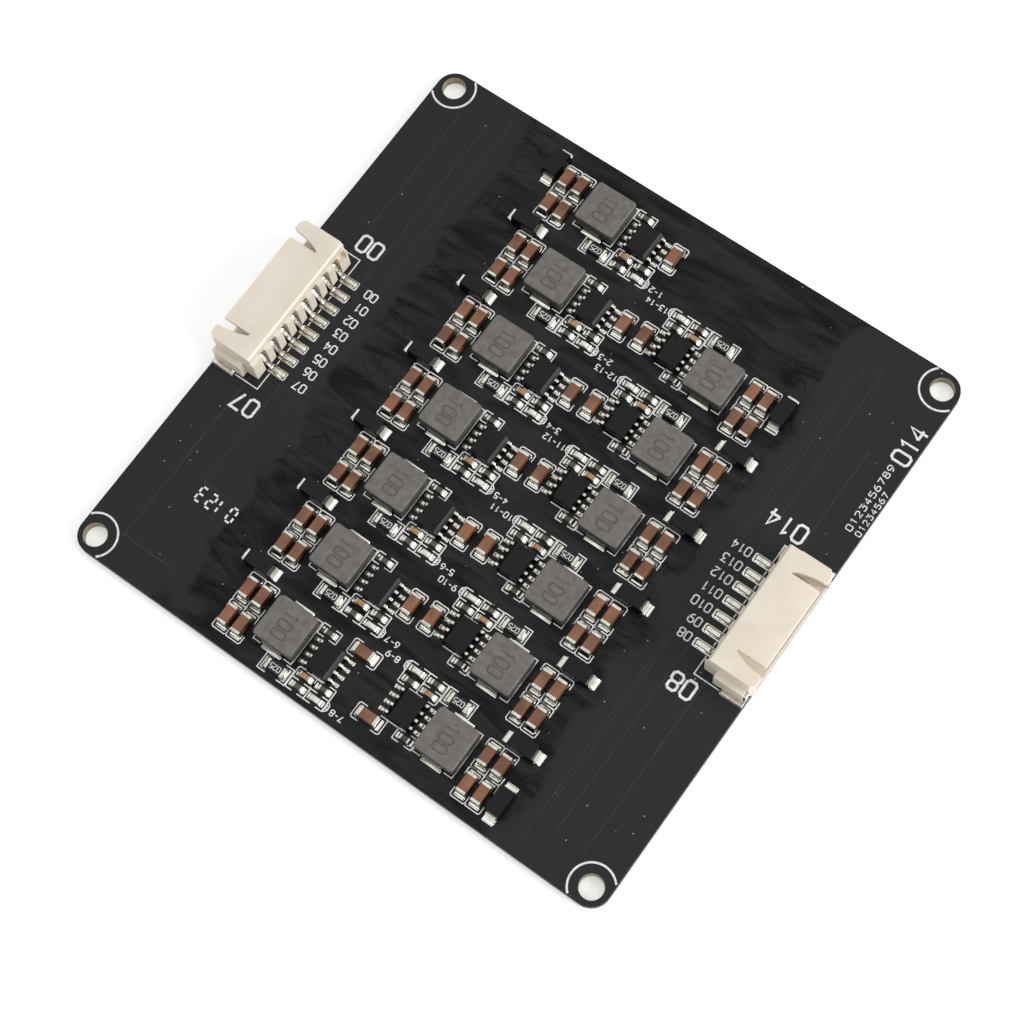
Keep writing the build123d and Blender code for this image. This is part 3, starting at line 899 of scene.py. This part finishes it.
# A short pad at the inner end and a long one at the outer end
stripPads = [
    solderPad(
        (-side - margin, 0.05), (side + margin, reach), (-side, 0.1),
        (side, min(stripFoot, reach - 0.1)), diodeLook["padRise"],
    )
    for reach in (diodeLook["padInner"] + stripFoot, diodeLook["padOuter"])
]
reach = diodeLength / 2
stripPlaces = []
for x, y, z, turned in diodePlaces:
    for turn in (turned, turned + 180.0):
        a = math.radians(turn)
        stripPlaces.append((x - math.sin(a) * reach, y + math.cos(a) * reach, z, turn))
addPiece("diodeLeads", copies(strip, stripPlaces), tin, ["diode_leads"])
solderShapes += [copies(stripPads[int(place[3] > 100)], [place]) for place in stripPlaces]
print("diodes made")


headerLook = {
    "edge": 0.1,
    "tabEdge": 0.06,
    "wire": 0.64,
    "wireEdge": 0.09,
    "point": (0.35, 0.55),    # the pin's point: its length, and its width as a share
    "bend": 0.5,
    "bendX": 40.17,
    "ankleX": 38.47,
    "padWidth": 1.42,
    "padStart": 38.9,
    "padEnd": {"left": 35.85, "right": 35.6},
    "padRise": 0.4,
    "tabPad": (42.7, 46.45),
    "tabPadRise": 0.3,
    "lip": (45.8, 46.6),
    "lipTop": 0.78,
    "lipEdge": 0.08,
    "sideWall": 1.8,
}
for side, sign in (("left", -1), ("right", 1)):
    housing = f"{side}_header_housing"
    bevelledCopy(housing, f"{side}Housing", nylon, headerLook["edge"])
    bevelledCopy(
        f"{side}_header_tabs", f"{side}Tabs", tin, headerLook["tabEdge"]
    )
    # The socket's floor runs on past the solid's to the mouth, between the side walls
    inner, mouth = headerLook["lip"]
    low, high = (corner[1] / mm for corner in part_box(housing))
    lip = roundBlock(
        mouth - inner, high - low - 2 * headerLook["sideWall"], 0, headerLook["lipTop"],
        headerLook["lipEdge"],
    )
    lipPlace = [(sign * (inner + mouth) / 2, 0, boardTop, 0)]
    addPiece(f"{side}SocketLip", copies(lip, lipPlace), nylon)
    # The wire's path runs from the pin's tip to the toe; its Y is the distance from the tip
    contactNode = f"{side}_header_contacts"
    wires = solidBoxes(contactNode)
    tip, toe = np.abs(wires[0, :, 0]).max(), np.abs(wires[0, :, 0]).min()
    wire, half = headerLook["wire"], headerLook["wire"] / 2
    pinLevel = wires[0, 1, 2] - boardTop - half
    bendAt, ankle = tip - headerLook["bendX"], tip - headerLook["ankleX"]
    pointLength, pointShare = headerLook["point"]
    corners = [(pointLength, pinLevel), (bendAt, pinLevel), (ankle, half), (tip - toe, half)]
    path = np.concatenate(([[0.0, pinLevel]], roundPath(corners, headerLook["bend"], 5)))
    scales = np.ones(len(path))
    scales[0] = pointShare
    contact = carriedBar(path, wire, wire, headerLook["wireEdge"], scales)
    contactPlaces = [(sign * tip, box[:, 1].mean(), boardTop, 90.0 * sign) for box in wires]
    bent = copies(contact, contactPlaces)
    addPiece(f"{side}Contacts", bent, tin, [contactNode])
    padSide = headerLook["padWidth"] / 2
    padStart, padEnd = tip - headerLook["padStart"], tip - headerLook["padEnd"][side]
    pad = solderPad(
        (-padSide, padStart), (padSide, padEnd), (-half, ankle), (half, tip - toe),
        headerLook["padRise"],
    )
    solderShapes.append(copies(pad, contactPlaces))
    start, end = sorted(sign * x for x in headerLook["tabPad"])
    for low, high in solidBoxes(f"{side}_header_tabs")[:, :, :2]:
        tabPad = solderPad(
            (start, low[1] - 0.1), (end, high[1] + 0.1), low + 0.05, high - 0.05,
            headerLook["tabPadRise"],
        )
        solderShapes.append(copies(tabPad, [(0, 0, boardTop, 0)]))
addPiece("solderJoints", joined(solderShapes), solder, weighted=False)
print("headers made")


inkLook = {
    "rise": 0.045,
    "step": 0.002,
    "stroke": 0.17,
    "ring": (3.35, 0.3),    # radius and stroke
    "ringInset": 0.2,    # the ring stops this far inside the board's two edges
    "ringSteps": 40,
    "cell": (3.24, 1.74, 0.47),    # width, height and half the gap in a level side
    "nose": (0.54, 0.36),    # reach and half height of the indicator's blunt end
    "notch": (0.3, 0.2, 0.42),    # reach, then half heights of its tip and its foot
    "controllerLine": (1.4, 2.75),    # half length, and distance from the middle
}
outlineLook = {
    # Size of each printed outline for a part that lies along Y, the arms that its corners have
    # along X and along Y, and how much is cut off each corner
    "capacitor": (2.5, 4.86, 1.25, 1.3, 0.22),
    "bypass": (1.74, 3.24, 0.87, 1.15, 0.22),
    "shunt": (2.54, 4.8, 1.27, 1.4, 0.0),
    "inductor": (6.82, 7.38, 1.36, 3.69, 0.0),
}
# Plotted figures on a box 1 wide and 1 high
figures = {
    "0": [[(0.22, 0), (0.78, 0), (1, 0.14), (1, 0.86), (0.78, 1), (0.22, 1), (0, 0.86), (0, 0.14),
           (0.22, 0)]],
    "1": [[(0.2, 0.8), (0.55, 1), (0.55, 0)]],
    "2": [[(0, 0.84), (0.2, 1), (0.8, 1), (1, 0.84), (1, 0.6), (0, 0), (1, 0)]],
    "3": [[(0, 1), (0.95, 1), (0.45, 0.6), (0.8, 0.6), (1, 0.44), (1, 0.16), (0.8, 0), (0.2, 0),
           (0, 0.16)]],
    "4": [[(0.74, 0), (0.74, 1), (0, 0.32)], [(0, 0.32), (1, 0.32)]],
    "5": [[(0.95, 1), (0.08, 1), (0.02, 0.58), (0.75, 0.6), (1, 0.44), (1, 0.16), (0.78, 0),
           (0.2, 0), (0, 0.14)]],
    "6": [[(0.85, 1), (0.4, 0.92), (0, 0.5), (0, 0.16), (0.22, 0), (0.78, 0), (1, 0.16),
           (1, 0.4), (0.78, 0.56), (0.22, 0.56), (0, 0.42)]],
    "7": [[(0, 1), (1, 1), (0.35, 0)]],
    "8": [[(0.22, 0), (0.78, 0), (1, 0.14), (1, 0.4), (0.78, 0.53), (0.22, 0.53), (0, 0.4),
           (0, 0.14), (0.22, 0)],
          [(0.22, 0.53), (0.06, 0.66), (0.06, 0.88), (0.25, 1), (0.75, 1), (0.94, 0.88),
           (0.94, 0.66), (0.78, 0.53)]],
    "-": [[(0.1, 0.48), (0.9, 0.48)]],
}
figures["9"] = [[(1 - x, 1 - y) for x, y in figures["6"][0]]]
# Bars of a figure made of seven, and the bars that each figure lights
bars = {
    "a": [(0.14, 1), (0.86, 1)],
    "b": [(1, 0.9), (1, 0.6)],
    "c": [(1, 0.4), (1, 0.1)],
    "d": [(0.14, 0), (0.86, 0)],
    "e": [(0, 0.4), (0, 0.1)],
    "f": [(0, 0.9), (0, 0.6)],
    "g": [(0.14, 0.5), (0.86, 0.5)],
}
barFigures = {"0": "abcdef", "1": "bc", "2": "abged", "3": "abgcd"}
barTable = {letter: [bars[name] for name in names] for letter, names in barFigures.items()}


def written(size, text, x, y, turn, middle=False, table=figures):
    # Strokes of a number that starts at a point, halfway up its first figure, or has its middle
    # there: the figure's box times its width and height, moved on by the pitch, turned, then
    # moved to the point
    height, width, pitch = size
    cos, sin = math.cos(math.radians(turn)), math.sin(math.radians(turn))
    if middle:
        reach = ((len(text) - 1) * pitch + width) / 2
        x, y = x - reach * cos, y - reach * sin
    strokes = []
    for place, letter in enumerate(text):
        for stroke in table[letter]:
            points = np.array(stroke) * (width, height) + (place * pitch, -height / 2)
            strokes.append(points @ np.array([(cos, sin), (-sin, cos)]) + (x, y))
    return strokes


def outlined(kind, spots):
    # Four corners round each part: each has an arm along X and one along Y, and a cut corner.
    # A part that lies along X swaps the two directions.
    strokes = []
    for x, y, _, turned in spots:
        width, height, stubX, stubY, cut = outlineLook[kind]
        if turned:
            width, height, stubX, stubY = height, width, stubY, stubX
        for sx, sy in ((1, 1), (-1, 1), (-1, -1), (1, -1)):
            cornerX, cornerY = x + sx * width / 2, y + sy * height / 2
            bend = [(cornerX, cornerY)]
            if cut:
                bend = [(cornerX - sx * cut, cornerY), (cornerX, cornerY - sy * cut)]
            ends = (cornerX - sx * stubX, cornerY), (cornerX, cornerY - sy * stubY)
            strokes.append([ends[0], *bend, ends[1]])
    return strokes


def printed(strokes, width, level, rise):
    # Each stroke's top stands at one of five levels, so that no two crossing tops share a plane
    return [
        inkLine(stroke, width, level, level + rise + number % 5 * inkLook["step"])
        for number, stroke in enumerate(strokes)
    ]


def gridStrokes(cells):
    # Cells that touch share their lines: upright sides run whole, level ones leave the middle
    # open, and a line that two cells share is kept once
    width, height, gap = inkLook["cell"]
    kept = {}
    for x, y in cells:
        x0, x1, y0, y1 = x - width / 2, x + width / 2, y - height / 2, y + height / 2
        for line in (
            [(x0, y0), (x0, y1)], [(x1, y0), (x1, y1)],
            [(x0, y0), (x - gap, y0)], [(x + gap, y0), (x1, y0)],
            [(x0, y1), (x - gap, y1)], [(x + gap, y1), (x1, y1)],
        ):
            kept.setdefault(tuple(np.round(np.ravel(line), 1).tolist()), line)
    return list(kept.values())


thin = outlined("capacitor", places["capacitor"])
thin += gridStrokes(np.concatenate((places["resistor"], places["indicator"]))[:, :2])
thin += outlined("bypass", places["bypass"]) + outlined("shunt", places["shunt"])
width, height, _ = inkLook["cell"]
noseReach, noseHalf = inkLook["nose"]
notchReach, notchTip, notchFoot = inkLook["notch"]
betweenColumns = 2.5    # X of the line between the two columns of channels
for x, y, _, _ in places["indicator"]:
    # The inner end narrows to a blunt nose, with two small notches behind it
    sign = 1 if x < betweenColumns else -1
    end = x + sign * width / 2
    nose, tip = end + sign * noseReach, end + sign * notchReach
    thin += [
        [(end, y + height / 2), (nose, y + noseHalf), (nose, y - noseHalf), (end, y - height / 2)],
        [(end, y + notchFoot), (tip, y + notchTip), (end, y)],
        [(end, y), (tip, y - notchTip), (end, y - notchFoot)],
    ]
thin += outlined("inductor", inductorPlaces)
half, below = inkLook["controllerLine"]
thin += [[(x - half, y - below), (x + half, y - below)] for x, y, _, _ in controllerPlaces]

pinPitch = 2.5
headerPrint = {
    # Count of pins, X of the line, and the upper and lower Y of its corners
    "left": (8, -38.25, 12.5, -12.6),
    "right": (7, 38.3, 11.3, -11.4),
}
headerLine = {"side": 4.2, "past": 0.85, "dash": 0.75}
for count, x, upper, lower in headerPrint.values():
    reach = (count - 1) * pinPitch / 2
    outer = x + math.copysign(headerLine["side"], x)
    for end, sign in ((upper, 1), (lower, -1)):
        thin.append([(outer, end), (x, end), (x, sign * (reach + headerLine["past"]))])
    half = headerLine["dash"] / 2
    gaps = [(number + 0.5) * pinPitch - reach for number in range(count - 1)]
    thin += [[(x, y - half), (x, y + half)] for y in gaps]

ringRadius, ringStroke = inkLook["ring"]
inset = boardLook["holeInset"] - inkLook["ringInset"]
first = math.degrees(math.acos(inset / ringRadius))
rings = []
for x, y, _, _ in holePlaces:
    base = math.degrees(math.atan2(y, x)) - 45
    a = np.radians(np.linspace(base + 90 + first, base + 360 - first, inkLook["ringSteps"]))
    rings.append(np.stack((x + ringRadius * np.cos(a), y + ringRadius * np.sin(a)), 1))

# Height, width and pitch of the figures of each kind, then the stroke
numberLook = {
    "pair": ((0.86, 0.55, 0.78), 0.16),
    "pin": ((1.32, 0.8, 1.1), 0.2),
    "large": ((2.7, 1.6, 2.2), 0.39),
    "upperLine": ((0.95, 0.75, 1.2), 0.16),
    "lowerLine": ((0.85, 0.6, 1.0), 0.15),
    "bar": ((2.3, 1.0, 1.87), 0.3),
}
rowPitch = 13.0
# Kind, text, X, Y and turn of each number, and True where that point is its middle
numbers = [
    ("large", "00", -36.35, 15.0, 180),
    ("large", "07", -36.35, -15.55, 180),
    ("large", "014", 39.9, 13.85, 180),
    ("large", "08", 39.8, -13.8, 180),
    ("large", "014", 44.6, 30.8, 90),
    ("upperLine", "0123456789", 44.25, 18.25, 90),
    ("lowerLine", "01234567", 45.8, 18.25, 90),
    ("bar", "0123", -28.75, -30.15, 180),
]
for row in range(7):
    numbers.append(("pair", f"{row + 1}-{row + 2}", 2.2, 33.1 - row * rowPitch, 180))
for row in range(6):
    numbers.append(("pair", f"{13 - row}-{14 - row}", 2.45, 31.5 - row * rowPitch, 180, True))
for pin in range(8):
    numbers.append(("pin", f"0{pin}", -32.35, 8.7 - pin * pinPitch, 180))
for pin in range(7):
    numbers.append(("pin", f"0{14 - pin}", 35.0, 7.55 - pin * pinPitch, 180))

inkShapes = printed(thin, inkLook["stroke"], boardTop, inkLook["rise"])
inkShapes += printed(rings, ringStroke, boardTop, inkLook["rise"])
for kind, (size, stroke) in numberLook.items():
    table = barTable if kind == "bar" else figures
    strokes = []
    for named, *number in numbers:
        strokes += written(size, *number, table=table) if named == kind else []
    inkShapes += printed(strokes, stroke, boardTop, inkLook["rise"])
addPiece("printedInk", joined(inkShapes), ink, weighted=False)

partMarks = {
    # Text, turn, size of its figures, stroke, rise above the part's top, ink and slot
    "inductor": ("100", -90, (2.25, 1.1, 1.54), 0.27, 0.02, darkInk, "inductor_moulding"),
    "shunt": ("025", 180, (0.8, 0.45, 0.62), 0.11, 0.015, ink, "black_glaze"),
}
markSpots = {
    "inductor": [(*box.mean(axis=0)[:2], box[1, 2]) for box in inductorBoxes],
    "shunt": [(x, y, z + sizes["shunt"]["bodyHeight"]) for x, y, z, _ in places["shunt"]],
}
sunk = 0.01    # the marks start this far inside the part
for kind, (text, turn, size, stroke, rise, finish, slotName) in partMarks.items():
    marks = []
    for x, y, top in markSpots[kind]:
        marks += printed(written(size, text, x, y, turn, True), stroke, top - sunk, rise)
    addPiece(f"{kind}Numbers", joined(marks), finish, weighted=False)
print("printing made")


stageLook = {
    "floorSize": 3.0,
    "floorLevel": -0.2,
    "floorColour": "#fbfbfb",
    "floorLight": 0.3,
    "world": 0.28,
}
reach, level = stageLook["floorSize"] / 2, stageLook["floorLevel"] * mm
corners = [(x * reach, y * reach, level) for x, y in ((-1, -1), (1, -1), (1, 1), (-1, 1))]
floorMesh = bpy.data.meshes.new("floor")
floorMesh.from_pydata(corners, [], [(0, 1, 2, 3)])
# Matte white paper lit a little from below: no gloss, and only a faint shadow at the board
paper, _, _, _ = startMaterial(
    "matte paper",
    {
        "Base Color": hexColour(stageLook["floorColour"]),
        "Roughness": 0.9,
        "Emission Color": (1, 1, 1, 1),
        "Emission Strength": stageLook["floorLight"],
    },
)
floorMesh.materials.append(paper)
floor = bpy.data.objects.new("floor", floorMesh)
scene.collection.objects.link(floor)

world = bpy.data.worlds.new("soft studio")
scene.world = world
world.use_nodes = True
backdrop = world.node_tree.nodes["Background"].inputs
backdrop["Color"].default_value = (1, 1, 1, 1)
backdrop["Strength"].default_value = stageLook["world"]

lamps = {
    # Place, width, height and power in watts of each soft box, all aimed at the board's centre
    "overhead": ((-0.15, 0.15, 1.0), 1.5, 1.5, 6.6),
    "right": ((0.9, 0.2, 0.4), 0.7, 0.75, 10.5),
    "front": ((-0.2, -0.95, 0.22), 0.45, 0.18, 1.7),
}
for name, (place, width, height, power) in lamps.items():
    lamp = bpy.data.lights.new(name, "AREA")
    lamp.shape, lamp.size, lamp.size_y, lamp.energy = "RECTANGLE", width, height, power
    holder = bpy.data.objects.new(name, lamp)
    holder.location = place
    holder.rotation_euler = (-Vector(place)).to_track_quat("-Z", "Y").to_euler()
    scene.collection.objects.link(holder)

cameraLook = {
    # Place in millimetres, the directions to the right, up and back, and the lens
    "place": (75.69, -76.72, 295.41),
    "right": (0.80885, 0.58507, -0.05875),
    "up": (-0.54033, 0.77896, 0.31821),
    "back": (0.23194, -0.22564, 0.94620),
    "lens": 76.4,
    "sensor": 36.0,
}
cameraData = bpy.data.cameras.new("camera")
cameraData.lens, cameraData.sensor_width = cameraLook["lens"], cameraLook["sensor"]
cameraData.clip_start, cameraData.clip_end = 0.01, 10.0
camera = bpy.data.objects.new("camera", cameraData)
axes = np.array([cameraLook[name] for name in ("right", "up", "back")]).T
place = Matrix.Translation(Vector(cameraLook["place"]) * mm)
camera.matrix_world = place @ Matrix(axes.tolist()).to_4x4()
scene.collection.objects.link(camera)
bpy.context.scene.camera = camera
scene.view_settings.view_transform = "Standard"
print("stage made")
